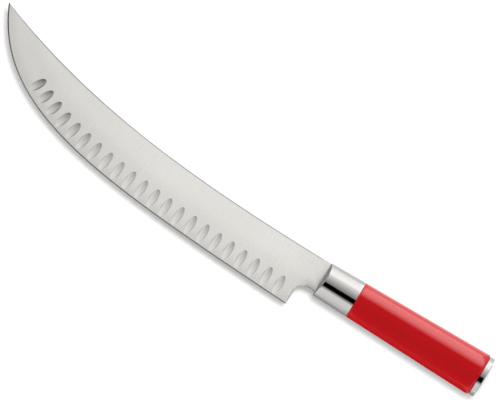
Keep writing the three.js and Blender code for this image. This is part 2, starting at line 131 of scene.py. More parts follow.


# Martensitic stainless ground square to the edge on a fine belt: a pale sheen with faint marks that run from
# the spine to the edge, and a smoother bevel. Painted shade darkens the flank by the edge, the flats at the
# root and the tip, the scallops and, towards the tip, the bevel.
def makeSatinGroundStainless():
    finish = bladeFinish
    material, tree = startMaterial("satinGroundStainless")
    place = addNode(tree, "ShaderNodeAttribute", attribute_name="edgeGrid").outputs["Vector"]
    along, inward, under = addNode(tree, "ShaderNodeSeparateXYZ", {0: place}).outputs
    atTip, nearTip, tipwardShade, onFlank, inScallop = (
        addNode(tree, "ShaderNodeMapRange", {"Value": value, **ends("From", finish[name])})
        for value, name in ((along, "tipFade"), (along, "tipReach"), (along, "bevelFade"),
                            (inward, "bevelReach"), (under, "scallopRim")))

    # grinding marks in a slightly cloudy sheen
    stretch = (1 / finish["streakWidth"], 1 / finish["streakRun"], 0)
    stretched = addNode(tree, "ShaderNodeVectorMath", {0: place, 1: stretch}, operation="MULTIPLY")
    streaks = addNode(tree, "ShaderNodeTexNoise", {
        "Vector": stretched, "Scale": 1.0, "Detail": 3.0, "Roughness": 0.6})
    clouds = addNode(tree, "ShaderNodeTexNoise", {
        "Vector": place, "Scale": 1 / finish["cloudSize"], "Detail": 1.0})
    sheen = addNode(tree, "ShaderNodeMix", {
        "Factor": clouds, "A": toLinear(finish["dull"]), "B": toLinear(finish["bright"])}, data_type="RGBA")
    satin = addNode(tree, "ShaderNodeMapRange", {
        "Value": streaks, **ends("From", noiseReach), **ends("To", finish["roughness"])})
    marks = addNode(tree, "ShaderNodeBump", {
        "Strength": 1.0, "Distance": finish["streakHeight"] * mm, "Height": streaks})

    # flats, with painted shade by the edge, at the root and at the tip
    offEdge = addNode(tree, "ShaderNodeMapRange", {
        "Value": inward, **ends("From", finish["edgeReach"])}, interpolation_type="SMOOTHSTEP")
    edgeShaded = addNode(tree, "ShaderNodeMix", {
        "Factor": offEdge, "A": toLinear(finish["edge"]), "B": sheen}, data_type="RGBA")
    atRoot = addNode(tree, "ShaderNodeMapRange", {
        "Value": along, **ends("From", finish["rootFade"]), **ends("To", (1.0, 0.0))})
    atEnds = addNode(tree, "ShaderNodeMath", {0: atRoot, 1: atTip}, operation="MAXIMUM")
    shaded = addNode(tree, "ShaderNodeMix", {
        "Factor": atEnds, "A": edgeShaded, "B": grey(finish["endShade"])}, data_type="RGBA", blend_type="MULTIPLY")

    # scallops, painted a shade darker towards the tip and away from the edge
    farIn = addNode(tree, "ShaderNodeMapRange", {
        "Value": inward, **ends("From", finish["tipDepth"]), **ends("To", (0.0, nearTip))})
    scallop = addNode(tree, "ShaderNodeMix", {
        "Factor": farIn, "A": toLinear(finish["scallop"]), "B": toLinear(finish["tipScallop"])},
        data_type="RGBA")
    ground = addNode(tree, "ShaderNodeMix", {
        "Factor": inScallop, "A": shaded, "B": scallop}, data_type="RGBA")

    # bevel, smoother than the flank, with painted shade towards the tip
    onBevel = addNode(tree, "ShaderNodeMapRange", {"Value": onFlank, **ends("To", (tipwardShade, 0.0))})
    colour = addNode(tree, "ShaderNodeMix", {
        "Factor": onBevel, "A": ground, "B": grey(finish["bevelShade"])},
        data_type="RGBA", blend_type="MULTIPLY")
    flank = addNode(tree, "ShaderNodeMix", {"Factor": onFlank, "A": finish["bevelRoughness"], "B": satin})
    roughness = addNode(tree, "ShaderNodeMix", {
        "Factor": inScallop, "A": flank, "B": finish["scallopRoughness"]})
    closeMaterial(tree, {"Metallic": 1.0, "Base Color": colour, "Roughness": roughness, "Normal": marks})
    return material


polishFinish = dict(
    colour="e6e4e1",
    mouthShadeColour="a6a4a2",
    roughness=(0.08, 0.12),
    mouthRoughness=0.45,
    hazeSize=6.0,  # mm
    hairlineWidth=0.3,  # mm; real buffing hairlines are finer
    hairlineRun=12.0,  # mm
    hairlineHeight=0.0002,  # mm
)


# Stainless buffed to a mirror: clear reflections with a trace of haze and hairlines round the handle.
# The bolster's front faces beside the blade are duller, and painted dark as a painted reflection of the dark
# they face.
def makeMirrorPolishedStainless():
    finish = polishFinish
    material, tree = startMaterial("mirrorPolishedStainless")
    place = addNode(tree, "ShaderNodeTexCoord").outputs["Object"]
    haze = addNode(tree, "ShaderNodeTexNoise", {
        "Vector": place, "Scale": 1 / (finish["hazeSize"] * mm), "Detail": 4.0})
    buffed = addNode(tree, "ShaderNodeMapRange", {
        "Value": haze, **ends("From", noiseReach), **ends("To", finish["roughness"])})
    mouth = addNode(tree, "ShaderNodeAttribute", attribute_name="mouth").outputs["Fac"]
    colour = addNode(tree, "ShaderNodeMix", {
        "Factor": mouth, "A": toLinear(finish["colour"]), "B": toLinear(finish["mouthShadeColour"])},
        data_type="RGBA")
    roughness = addNode(tree, "ShaderNodeMix", {"Factor": mouth, "A": buffed, "B": finish["mouthRoughness"]})
    sizes = (finish["hairlineWidth"], finish["hairlineRun"], finish["hairlineRun"])
    stretch = tuple(1 / (size * mm) for size in sizes)
    stretched = addNode(tree, "ShaderNodeVectorMath", {0: place, 1: stretch}, operation="MULTIPLY")
    hairlines = addNode(tree, "ShaderNodeTexNoise", {"Vector": stretched, "Scale": 1.0, "Detail": 2.0})
    bump = addNode(tree, "ShaderNodeBump", {
        "Strength": 1.0, "Distance": finish["hairlineHeight"] * mm, "Height": hairlines})
    closeMaterial(tree, {"Metallic": 1.0, "Base Color": colour, "Roughness": roughness, "Normal": bump})
    return material


gripFinish = dict(
    deep="b91017",
    bright="bf1219",
    flowSize=30.0,  # mm
    roughness=(0.12, 0.17),
    ior=1.48,
    grainSize=0.35,  # mm; spark-eroded mould grain, drawn a little coarse
    grainHeight=0.012,  # mm
    grainStrength=0.6,
)


# Acetal, injection moulded in a finely spark-eroded tool: a deep red under a soft, slightly broken gloss.
def makeMouldedRedAcetal():
    finish = gripFinish
    material, tree = startMaterial("mouldedRedAcetal")
    place = addNode(tree, "ShaderNodeTexCoord").outputs["Object"]
    flow = addNode(tree, "ShaderNodeTexNoise", {
        "Vector": place, "Scale": 1 / (finish["flowSize"] * mm), "Detail": 2.0})
    colour = addNode(tree, "ShaderNodeMix", {
        "Factor": flow, "A": toLinear(finish["deep"]), "B": toLinear(finish["bright"])}, data_type="RGBA")
    grain = addNode(tree, "ShaderNodeTexNoise", {
        "Vector": place, "Scale": 1 / (finish["grainSize"] * mm), "Detail": 3.0})
    roughness = addNode(tree, "ShaderNodeMapRange", {
        "Value": grain, **ends("From", noiseReach), **ends("To", finish["roughness"])})
    bump = addNode(tree, "ShaderNodeBump", {
        "Strength": finish["grainStrength"], "Distance": finish["grainHeight"] * mm, "Height": grain})
    closeMaterial(tree, {"Base Color": colour, "Roughness": roughness, "IOR": finish["ior"], "Normal": bump})
    return material


# Grain sizes and heights are in mm.
hiddenFinish = {
    "zincPlatedSteel": dict(
        tones=("b4b9c2", "c9c7b8"), roughness=(0.26, 0.46), grainSize=1.6, grainHeight=0.004, metallic=1.0),
    "glassFilledNylon": dict(
        tones=("171719", "252527"), roughness=(0.5, 0.72), grainSize=0.5, grainHeight=0.012, metallic=0.0),
    "nitrileRubber": dict(
        tones=("0d0d0e", "171718"), roughness=(0.66, 0.85), grainSize=0.3, grainHeight=0.01, metallic=0.0),
}
hiddenGrainStrength = 0.5


# Zinc has a blue and straw bloom from its passivation, glass-filled nylon a matt fibrous skin,
# and nitrile the fine grain that its mould leaves.
def makeHiddenMaterial(name):
    finish = hiddenFinish[name]
    material, tree = startMaterial(name)
    place = addNode(tree, "ShaderNodeTexCoord").outputs["Object"]
    grain = addNode(tree, "ShaderNodeTexNoise", {
        "Vector": place, "Scale": 1 / (finish["grainSize"] * mm), "Detail": 4.0})
    first, second = finish["tones"]
    colour = addNode(tree, "ShaderNodeMix", {
        "Factor": grain, "A": toLinear(first), "B": toLinear(second)}, data_type="RGBA")
    roughness = addNode(tree, "ShaderNodeMapRange", {
        "Value": grain, **ends("From", noiseReach), **ends("To", finish["roughness"])})
    bump = addNode(tree, "ShaderNodeBump", {
        "Strength": hiddenGrainStrength, "Distance": finish["grainHeight"] * mm, "Height": grain})
    closeMaterial(tree, {
        "Metallic": finish["metallic"], "Base Color": colour, "Roughness": roughness, "Normal": bump})
    return material


satinSteel = makeSatinGroundStainless()
mirrorSteel = makeMirrorPolishedStainless()
redAcetal = makeMouldedRedAcetal()
zincSteel = makeHiddenMaterial("zincPlatedSteel")
blackNylon = makeHiddenMaterial("glassFilledNylon")
sealRubber = makeHiddenMaterial("nitrileRubber")
print("materials made")


# Blade

blade = dict(
    reach=256.0,
    tipRise=45.5,
    tipBlunt=0.3,
    spineRoot=11.05,
    spinePulls=(94.0, 85.0),  # at the root and at the tip
    spineSlopes=(0.0, 20.6),  # degrees
    spineEase=0.6,
    edgeRoot=-25.5,
    edgePulls=(146.0, 70.0),
    edgeSlopes=(2.3, 66.4),
    edgeSteps=512,
    edgeProbe=0.05,  # half the stretch of edge that gives its direction
    heelSetback=11.5,
    heelTurn=30.0,  # the section lines turn upright over this length of edge as they reach the heel
    notchRadius=6.0,
    notchTop=-9.35,
    notchSteps=10,
    rootColumn=3.4,  # a column of points this far from the bolster
    rootFlare=(1.2, 0.6),  # how far from the bolster it starts and how far it drops
    heelRoll=(0.25, 1.2),  # how far the face rolls off round the heel and the notch, and over what width
    notchRoll=(0.4, 8.5),  # and how much more over the notch
    notchHold=8,  # how soon that is gone round the notch's corner
    rollPower=3,  # how softly the rolls start
    heelStep=0.6,  # to the first points in from these corners
    tang=((0.1, 6.0), (24.6, 6.0), (70.2, 2.425), (78.2, 2.425)),  # x and half height
    tangRelief=0.1,
    stations=190,
    tipCrowding=1.25,  # the stations lie closer towards the tip
    lowRows=8,
    highRows=22,
    easeRows=3,
    thinParts=(4, 5, 50),  # the width over these is the most for the bevel, the spine's ease and a step
    weld=0.0005,
    sharpAngle=4,  # degrees
)
grind = {
    "Half edge": 0.05,
    "Half shoulder": 0.25,
    "Half sheet": 1.25,
    "Bevel width": 0.8,
    "Grind width": 20.0,
    "Grind blend": 0.33,
    "Ease share": 0.6,  # of half the thickness, the most that an ease or a roll takes
    "Flank slope": 1.0 / 19.2,
    "Scallop pitch": 9.5,
    "First scallop": 10.2,  # past the heel
    "Last scallop": 54.0,  # before the tip
    "Run out": 66.0,
    "Heel length": 13.1,
    "Heel gap": 1.2,
    "Heel depth": 0.42,
    "Tip length": 11.7,
    "Tip gap": 2.4,
    "Tip depth": 0.5,
}
dish = dict(
    width=5.3,
    rings=(0.15, 0.3, 0.45, 0.6, 0.72, 0.82, 0.9, 0.96, 1.02, 1.1, 1.25),  # shares of its outline
    sides=48,
    lid=6.0,  # times its depth
)


def bladeControls(root, pulls, slopes):
    rootSlope, tipSlope = (math.radians(s) for s in slopes)
    start, tip = Vector((0, root)), Vector((-blade["reach"], blade["tipRise"]))
    first = start + pulls[0] * Vector((-math.cos(rootSlope), math.sin(rootSlope)))
    second = tip + pulls[1] * Vector((math.cos(tipSlope), -math.sin(tipSlope)))
    return [start, first, second, tip]


def bezierPoints(controls, steps=4000):
    t = np.linspace(0, 1, steps + 1)[:, None]
    a, b, c, d = (np.array(p) for p in controls)
    return (1 - t) ** 3 * a + 3 * (1 - t) ** 2 * t * b + 3 * (1 - t) * t * t * c + t ** 3 * d


edgeControls = bladeControls(blade["edgeRoot"], blade["edgePulls"], blade["edgeSlopes"])
spineControls = bladeControls(blade["spineRoot"], blade["spinePulls"], blade["spineSlopes"])
edgeLine = bezierPoints(edgeControls)
spineLine = bezierPoints(spineControls)
edgeRun = np.concatenate([[0], np.cumsum(np.linalg.norm(np.diff(edgeLine, axis=0), axis=1))])
edgeLength = edgeRun[-1]
heelAt = np.interp(blade["heelSetback"], -edgeLine[:, 0], edgeRun)
notchStart = blade["notchTop"] - blade["notchRadius"]


def edgePoint(length):
    return np.array([np.interp(length, edgeRun, edgeLine[:, axis]) for axis in (0, 1)])


# Where a line from the edge crosses the spine.
def spineCrossing(start, aim):
    beyond = aim[0] * (spineLine[:, 1] - start[1]) - aim[1] * (spineLine[:, 0] - start[0])
    after = int(np.argmax(beyond > 0))
    share = beyond[after - 1] / (beyond[after - 1] - beyond[after])
    return spineLine[after - 1] + share * (spineLine[after] - spineLine[after - 1])


# How far the face has rolled off towards the heel and the notch.
def rollOff(x, y):
    across = min(x + blade["heelSetback"] - blade["notchRadius"], 0)
    above = max(y - notchStart, 0)
    away = math.hypot(across, above)
    overNotch = (above / away) ** blade["notchHold"] if away else 0
    inside = away - blade["notchRadius"]
    rolled = 0
    for (fall, width), share in ((blade["heelRoll"], 1), (blade["notchRoll"], overNotch)):
        rolled += fall * share * max(1 - inside / width, 0) ** blade["rollPower"]
    return rolled


# The blade seen square on, flat, as rows of points from the edge to the spine. Each point keeps its place
# along and in from the edge for the grinding marks, and how far it lies below the sheet's face.
def bladePlan():
    points, grid, drop, faces = [], [], [], []
    heelPoint = edgePoint(heelAt)
    rounding = [math.radians(90 * (step + 1) / blade["easeRows"]) for step in range(blade["easeRows"])]
    notchRow = 1 + blade["lowRows"]
    lastFlat = notchRow + 1 + blade["highRows"]

    def addPoint(place, along, inward, below):
        points.append((place[0], place[1], 0))
        grid.append((along, inward, 0))
        drop.append(max(below, rollOff(*place)) if place[0] <= 0 else below)
        return len(points) - 1

    def addFaces(here, beside):
        for row in range(len(here) - 1):
            faces.append((here[row], beside[row], beside[row + 1], here[row + 1]))

    # columns from the heel to the tip
    columns = []
    notchShare = None
    upright = np.array([0, 1])
    shares = 1 - (1 - np.linspace(0, 1, blade["stations"] + 1)) ** blade["tipCrowding"]
    lengths = heelAt + (edgeLength - blade["tipBlunt"] - heelAt) * shares
    for length in np.insert(lengths, 1, heelAt + blade["heelStep"]):
        start = edgePoint(length)
        ahead, behind = min(length + blade["edgeProbe"], edgeLength), length - blade["edgeProbe"]
        along = edgePoint(ahead) - edgePoint(behind)
        inward = np.array([along[1], -along[0]]) / np.linalg.norm(along)
        turned = min((length - heelAt) / blade["heelTurn"], 1)
        aim = upright + (inward - upright) * turned
        aim /= np.linalg.norm(aim)
        width = np.linalg.norm(spineCrossing(start, aim) - start)
        notchShare = notchShare or (notchStart - heelPoint[1]) / width
        mostBevel, mostEase, mostStep = (width / part for part in blade["thinParts"])
        bevel = min(grind["Bevel width"], mostBevel)
        ease = min(blade["spineEase"], mostEase)
        notchAt, flatEnd = notchShare * width, width - ease
        rows = [(0, 0)]
        rows += [(d, 0) for d in np.linspace(bevel, notchAt, blade["lowRows"] + 1)]
        rows.append((notchAt + min(blade["heelStep"], mostStep), 0))
        rows += [(d, 0) for d in np.linspace(notchAt, flatEnd, blade["highRows"] + 1)[1:]]
        rows += [(flatEnd + ease * math.sin(a), ease * (1 - math.cos(a))) for a in rounding]
        columns.append([addPoint(start + d * aim, length, d, below) for d, below in rows])
    for here, beside in zip(columns[1:], columns):
        addFaces(here, beside)

    # the root behind the heel, over the notch and back to the bolster
    radius, ease, tangHalf = blade["notchRadius"], blade["spineEase"], blade["tang"][0][1]
    flareStart, flareDrop = blade["rootFlare"]
    roof = [(radius - blade["heelSetback"] - radius * math.cos(a), notchStart + radius * math.sin(a))
            for a in np.linspace(0, math.pi / 2, blade["notchSteps"] + 1)[1:]]
    roof += [(-blade["rootColumn"], blade["notchTop"]), (-flareStart, blade["notchTop"]),
             (0, blade["notchTop"] - flareDrop)]
    heelRows = np.array([points[p][1] for p in columns[0]])[notchRow:lastFlat + 1]
    heelShare = (heelRows - heelRows[0]) / (heelRows[-1] - heelRows[0])
    tangRows = [int(np.argmin(abs(heelRows - side * tangHalf))) for side in (-1, 1)]
    here = columns[0][notchRow:]
    for x, low in roof:
        flatEnd = np.interp(-x, -spineLine[:, 0], spineLine[:, 1]) - ease
        plain = low + (flatEnd - low) * heelShare
        kept = np.interp(np.arange(len(plain)), [0, *tangRows, len(plain) - 1],
                         [low, -tangHalf, tangHalf, flatEnd])
        share = 1 + x / blade["heelSetback"]
        rows = [(y, 0) for y in plain + (kept - plain) * share]
        rows += [(flatEnd + ease * math.sin(a), ease * (1 - math.cos(a))) for a in rounding]
        along = heelAt - x - blade["heelSetback"]
        beside = [addPoint((x, y), along, y - heelPoint[1], below) for y, below in rows]
        addFaces(here, beside)
        here = beside
    here = here[tangRows[0]:tangRows[1] + 1]
    for x, half in blade["tang"]:
        beside = [addPoint((x, y), heelAt - x, y - heelPoint[1], blade["tangRelief"])
                  for y in np.linspace(-half, half, len(here))]
        addFaces(here, beside)
        here = beside

    plan = bpy.data.meshes.new("bladePlan")
    plan.from_pydata(points, [], faces)
    gridData = plan.attributes.new("edgeGrid", "FLOAT_VECTOR", "POINT").data
    gridData.foreach_set("vector", np.array(grid, np.float32).ravel())
    dropData = plan.attributes.new("drop", "FLOAT", "POINT").data
    dropData.foreach_set("value", np.array(drop, np.float32))
    return plan


# The hollow that one pass of the scallop wheel leaves, 1 mm deep, closed by a lid, with its length along Y.
def scallopDish():
    shape = bmesh.new()
    halfWidth, halfLength = dish["width"] / 2, grind["Heel length"] / 2
    turns = [2 * math.pi * side / dish["sides"] for side in range(dish["sides"])]
    levels = [(share, share * share - 1) for share in dish["rings"]] + [(dish["rings"][-1], dish["lid"])]
    loops = [[shape.verts.new((share * halfWidth * math.cos(a), share * halfLength * math.sin(a), height))
              for a in turns] for share, height in levels]
    floor = shape.verts.new((0, 0, -1))
    for side in range(dish["sides"]):
        beside = (side + 1) % dish["sides"]
        shape.faces.new((floor, loops[0][beside], loops[0][side]))
        for inner, outer in zip(loops, loops[1:]):
            shape.faces.new((inner[side], inner[beside], outer[beside], outer[side]))
    shape.faces.new(loops[-1])
    bmesh.ops.recalc_face_normals(shape, faces=shape.faces)
    mesh = bpy.data.meshes.new("scallopDish")
    shape.to_mesh(mesh)
    shape.free()
    return mesh


# Gives the flat plan its ground section, by distance from the edge, and cuts a row of dishes into each flank.
def grindTree():
    tree = bpy.data.node_groups.new("grindBlade", "GeometryNodeTree")
    tree.interface.new_socket("Blade", in_out="OUTPUT", socket_type="NodeSocketGeometry")
    kinds = {"Plan": "Geometry", "Edge line": "Object", "Scallop dish": "Object",
             "Steel": "Material", "Place": "Vector"}
    kinds.update({name: "Float" for name in grind})
    identifiers = {}
    for name, kind in kinds.items():
        socket = tree.interface.new_socket(name, in_out="INPUT", socket_type="NodeSocket" + kind)
        identifiers[name] = socket.identifier
    given = addNode(tree, "NodeGroupInput").outputs

    # a slab between the plan and a copy of it 1 mm up
    raised = addNode(tree, "GeometryNodeExtrudeMesh", {
        "Mesh": given["Plan"], "Offset": (0, 0, 1), "Offset Scale": 1.0, "Individual": False})
    under = addNode(tree, "GeometryNodeFlipFaces", {"Mesh": given["Plan"]})
    both = addNode(tree, "GeometryNodeJoinGeometry", {0: (raised, under)})
    slab = addNode(tree, "GeometryNodeMergeByDistance", {"Geometry": both, "Distance": blade["weld"]})

    # half the thickness, from the distance to the edge
    edge = addNode(tree, "GeometryNodeObjectInfo", {"Object": given["Edge line"]}).outputs["Geometry"]
    edgeWire = addNode(tree, "GeometryNodeCurveToMesh", {"Curve": edge})
    position = addNode(tree, "GeometryNodeInputPosition")
    flat = addNode(tree, "ShaderNodeVectorMath", {0: position, 1: (1, 1, 0)}, operation="MULTIPLY")
    nearEdge = addNode(tree, "GeometryNodeProximity", {
        0: edgeWire, "Sample Position": flat}, target_element="EDGES")
    fromEdge = nearEdge.outputs["Distance"]
    bevel = addNode(tree, "ShaderNodeMapRange", {
        "Value": fromEdge, **ends("From", (0.0, given["Bevel width"])),
        **ends("To", (given["Half edge"], given["Half shoulder"]))}, clamp=False)
    flankEnds = {**ends("From", (given["Bevel width"], given["Grind width"])),
                 **ends("To", (given["Half shoulder"], given["Half sheet"]))}
    flank = addNode(tree, "ShaderNodeMapRange", {"Value": fromEdge, **flankEnds}, clamp=False)
    ground = addNode(tree, "ShaderNodeMath", {
        0: flank, 1: given["Half sheet"], 2: given["Grind blend"]}, operation="SMOOTH_MIN")
    half = addNode(tree, "ShaderNodeMath", {0: bevel, 1: ground}, operation="MINIMUM")
    drop = addNode(tree, "GeometryNodeInputNamedAttribute", {"Name": "drop"}, data_type="FLOAT")
    most = addNode(tree, "ShaderNodeMath", {0: half, 1: given["Ease share"]}, operation="MULTIPLY")
    ease = addNode(tree, "ShaderNodeMath", {0: drop, 1: most}, operation="MINIMUM")
    eased = addNode(tree, "ShaderNodeMath", {0: half, 1: ease}, operation="SUBTRACT")
    x, y, z = addNode(tree, "ShaderNodeSeparateXYZ", {0: position}).outputs
    face = addNode(tree, "ShaderNodeMath", {0: z, 1: 2.0, 2: -1.0}, operation="MULTIPLY_ADD")
    height = addNode(tree, "ShaderNodeMath", {0: face, 1: eased}, operation="MULTIPLY")
    moved = addNode(tree, "ShaderNodeCombineXYZ", {"X": x, "Y": y, "Z": height})
    body = addNode(tree, "GeometryNodeSetPosition", {"Geometry": slab, "Position": moved})

    # dishes along the edge, the right side's half a pitch on from the left side's
    wheel = addNode(tree, "GeometryNodeObjectInfo", {"Object": given["Scallop dish"]}).outputs["Geometry"]
    turn = addNode(tree, "ShaderNodeMath", {
        0: given["Last scallop"], 1: given["Run out"]}, operation="SUBTRACT")
    fall = addNode(tree, "ShaderNodeMath", {0: given["Flank slope"], 1: -1.0}, operation="MULTIPLY")
    span = addNode(tree, "ShaderNodeMath", {
        0: given["Last scallop"], 1: given["First scallop"]}, operation="SUBTRACT")
    pitches = addNode(tree, "ShaderNodeMath", {0: span, 1: given["Scallop pitch"]}, operation="DIVIDE")
    number = addNode(tree, "GeometryNodeInputIndex")
    rows = []
    for sign, stagger in ((1, 0.0), (-1, 0.5)):
        place = addNode(tree, "ShaderNodeMath", {0: number, 1: stagger}, operation="ADD")
        along = addNode(tree, "ShaderNodeMath", {
            0: place, 1: given["Scallop pitch"], 2: given["First scallop"]}, operation="MULTIPLY_ADD")
        onEdge = addNode(tree, "GeometryNodeSampleCurve", {"Curves": edge, "Length": along}, mode="LENGTH")
        inward = addNode(tree, "ShaderNodeVectorMath", {
            0: onEdge.outputs["Tangent"], 1: (0, 0, 1)}, operation="CROSS_PRODUCT")
        length, gap, depth = (addNode(tree, "ShaderNodeMapRange", {
            "Value": along, **ends("From", (turn, given["Last scallop"])),
            **ends("To", (given["Heel " + size], given["Tip " + size]))})
            for size in ("length", "gap", "depth"))
        middle = addNode(tree, "ShaderNodeMath", {0: length, 1: 0.5, 2: gap}, operation="MULTIPLY_ADD")
        surface = addNode(tree, "ShaderNodeMapRange", {"Value": middle, **flankEnds}, clamp=False)
        lift = addNode(tree, "ShaderNodeMath", {0: surface, 1: float(sign)}, operation="MULTIPLY")
        raisedEdge = addNode(tree, "ShaderNodeCombineXYZ", {"Z": lift})
        over = addNode(tree, "ShaderNodeVectorMath", {
            0: onEdge.outputs["Position"], 1: raisedEdge}, operation="ADD")
        centre = addNode(tree, "ShaderNodeVectorMath", {
            0: inward, 1: middle, 2: over}, operation="MULTIPLY_ADD")
        outward = addNode(tree, "ShaderNodeVectorMath", {
            0: inward, 1: fall, 2: (0, 0, sign)}, operation="MULTIPLY_ADD")
        rotation = addNode(tree, "FunctionNodeAxesToRotation", {
            0: outward, 1: inward}, primary_axis="Z", secondary_axis="Y")
        shorter = addNode(tree, "ShaderNodeMath", {0: length, 1: given["Heel length"]}, operation="DIVIDE")
        size = addNode(tree, "ShaderNodeCombineXYZ", {"X": 1.0, "Y": shorter, "Z": depth})
        count = addNode(tree, "ShaderNodeMath", {0: pitches, 1: 1.0 - stagger}, operation="ADD")
        whole = addNode(tree, "FunctionNodeFloatToInt", {0: count}, rounding_mode="FLOOR")
        points = addNode(tree, "GeometryNodePoints", {"Count": whole, "Position": centre})
        rows.append(addNode(tree, "GeometryNodeInstanceOnPoints", {
            "Points": points, "Instance": wheel, "Rotation": rotation, "Scale": size}))
    cutters = addNode(tree, "GeometryNodeJoinGeometry", {0: tuple(rows)})
    solidCutters = addNode(tree, "GeometryNodeRealizeInstances", {0: cutters})
    cut = addNode(tree, "GeometryNodeMeshBoolean", {
        "Mesh 1": body, "Mesh 2": solidCutters}, operation="DIFFERENCE", solver="EXACT")

    # places along and in from the edge, and how deep under the flank, for the grinding marks
    onPlan = addNode(tree, "GeometryNodeInputNamedAttribute", {"Name": "edgeGrid"}, data_type="FLOAT_VECTOR")
    nearest = addNode(tree, "GeometryNodeSampleNearestSurface", {
        "Mesh": given["Plan"], "Value": onPlan, "Sample Position": flat}, data_type="FLOAT_VECTOR")
    rise = addNode(tree, "ShaderNodeMath", {0: z}, operation="ABSOLUTE")
    depth = addNode(tree, "ShaderNodeMath", {0: half, 1: rise}, operation="SUBTRACT")
    sunk = addNode(tree, "ShaderNodeCombineXYZ", {"Z": depth})
    grid = addNode(tree, "ShaderNodeVectorMath", {0: nearest, 1: sunk}, operation="ADD")
    marked = addNode(tree, "GeometryNodeStoreNamedAttribute", {
        "Geometry": cut, "Name": "edgeGrid", "Value": grid}, data_type="FLOAT_VECTOR")
    placed = addNode(tree, "GeometryNodeTransform", {
        "Geometry": marked, "Translation": given["Place"], "Scale": (mm, mm, mm)})
    real = addNode(tree, "GeometryNodeRealizeInstances", {0: placed})
    steel = addNode(tree, "GeometryNodeSetMaterial", {"Geometry": real, "Material": given["Steel"]})
    addNode(tree, "NodeGroupOutput", {0: steel})
    return tree, identifiers


def makeBlade():
    edgeCurve = bpy.data.curves.new("edgeLine", "CURVE")
    edgeCurve.dimensions = "3D"
    edgeCurve.resolution_u = blade["edgeSteps"]
    spline = edgeCurve.splines.new("BEZIER")
    spline.bezier_points.add(1)
    start, first, second, tip = ((*point, 0) for point in edgeControls)
    for point, places in zip(spline.bezier_points, ((start, start, first), (second, tip, tip))):
        point.handle_left_type = point.handle_right_type = "FREE"
        point.handle_left, point.co, point.handle_right = places
    shapes = dict(edgeLine=edgeCurve, scallopDish=scallopDish(), bladePlan=bladePlan())
    helpers = [bpy.data.objects.new(name, shape) for name, shape in shapes.items()]
    for helper in helpers:
        scene.collection.objects.link(helper)
    edgeObject, dishObject, planObject = helpers
    tree, identifiers = grindTree()
    modifier = planObject.modifiers.new("grind", "NODES")
    modifier.node_group = tree
    values = {"Edge line": edgeObject, "Scallop dish": dishObject, "Steel": satinSteel,
              "Place": axisStart, **grind}
    values["First scallop"] = heelAt + grind["First scallop"]
    values["Last scallop"] = edgeLength - grind["Last scallop"]
    for name, value in values.items():
        modifier[identifiers[name]] = value
    ground = planObject.evaluated_get(bpy.context.evaluated_depsgraph_get())
    mesh = bpy.data.meshes.new_from_object(ground)
    for helper in helpers:
        bpy.data.objects.remove(helper)
    return mesh


# Puts a finished mesh in the scene as a piece that stands for a CAD node.
def addPiece(name, mesh, node, sharpAngle):
    mesh.name = name
    mesh.shade_smooth()
    mesh.set_sharp_from_angle(angle=math.radians(sharpAngle))
    piece = bpy.data.objects.new(name, mesh)
    scene.collection.objects.link(piece)
    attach(piece, "root")
    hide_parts(node)
    print(name, "has", sum(len(p.vertices) - 2 for p in mesh.polygons), "triangles")
    return piece


addPiece("groundBlade", makeBlade(), "blade", blade["sharpAngle"])


# Handle

handle = dict(
    frontHeight=23.3,
    frontThickness=19.0,
    rearHeight=28.2,
    rearThickness=23.0,
    sides=144,
    cornerShare=0.3,  # how far in a rounded corner's middle lies, as a share of its radius
    weld=0.001,
    sharpAngle=20,  # degrees
)


# A ring of the handle's oval at x, drawn in by an inset all round and then shrunk towards the axis.
def ovalRing(x, inset=0.0, shrink=1.0):
    share = min(x / handleRear, 1)
    height, thickness = (
        (handle["front" + side] + (handle["rear" + side] - handle["front" + side]) * share) / 2 - inset
        for side in ("Height", "Thickness"))
    turn = np.linspace(0, 2 * math.pi, handle["sides"], endpoint=False)
    places = np.full_like(turn, x), shrink * height * np.cos(turn), shrink * thickness * np.sin(turn)
    return np.stack(places, 1)


# Rings round a corner, from the side of an oval piece to its rear face.
def roundedRear(rear, inset, radius, steps):
    turns = np.linspace(0, math.pi / 2, steps + 1)
    return [ovalRing(rear - radius + radius * math.sin(a), inset + radius - radius * math.cos(a))
            for a in turns]


# Skins rings into a mesh in the frame. A closed row joins its last ring to its first.
def skinRings(rings, material, closed, extraFaces=(), extraPoints=()):
    sides = handle["sides"]
    points = np.concatenate([*rings, *extraPoints])
    faces = []
    for ring in range(len(rings) if closed else len(rings) - 1):
        here, beyond = ring * sides, (ring + 1) % len(rings) * sides
        for side in range(sides):
            beside = (side + 1) % sides
            faces.append((here + side, here + beside, beyond + beside, beyond + side))
    mesh = bpy.data.meshes.new("oval")
    mesh.from_pydata(points * mm + np.array(axisStart), [], faces + list(extraFaces))
    shape = bmesh.new()
    shape.from_mesh(mesh)
    bmesh.ops.remove_doubles(shape, verts=shape.verts, dist=handle["weld"] * mm)
    shape.to_mesh(mesh)
    shape.free()
    mesh.materials.append(material)
    return mesh


bolster = dict(
    wall=1.6,
    frontWall=6.0,
    fall=1.8,  # of the front faces, from the land beside the slot back to the sides
    slant=0.04,  # the share more per mm towards the spine, where they are cut a little deeper
    land=1.5,
    slot=6.3,
    ease=0.15,
    jointEase=0.2,
    plainStart=1.0,  # past the front faces
    plainRings=6,
    mouthFacing=0.9,  # faces turned this far to the front are the dull ones, painted dark
)


# The bolster's front ring, pushed back onto its two sloping faces.
def facetRing(inset, back):
    ring = ovalRing(0, inset)
    cheek = handle["frontThickness"] / 2 - bolster["land"]
    depth = bolster["fall"] * np.maximum(abs(ring[:, 2]) - bolster["land"], 0) / cheek
    ring[:, 0] = back + depth * (1 + bolster["slant"] * ring[:, 1])
    return ring


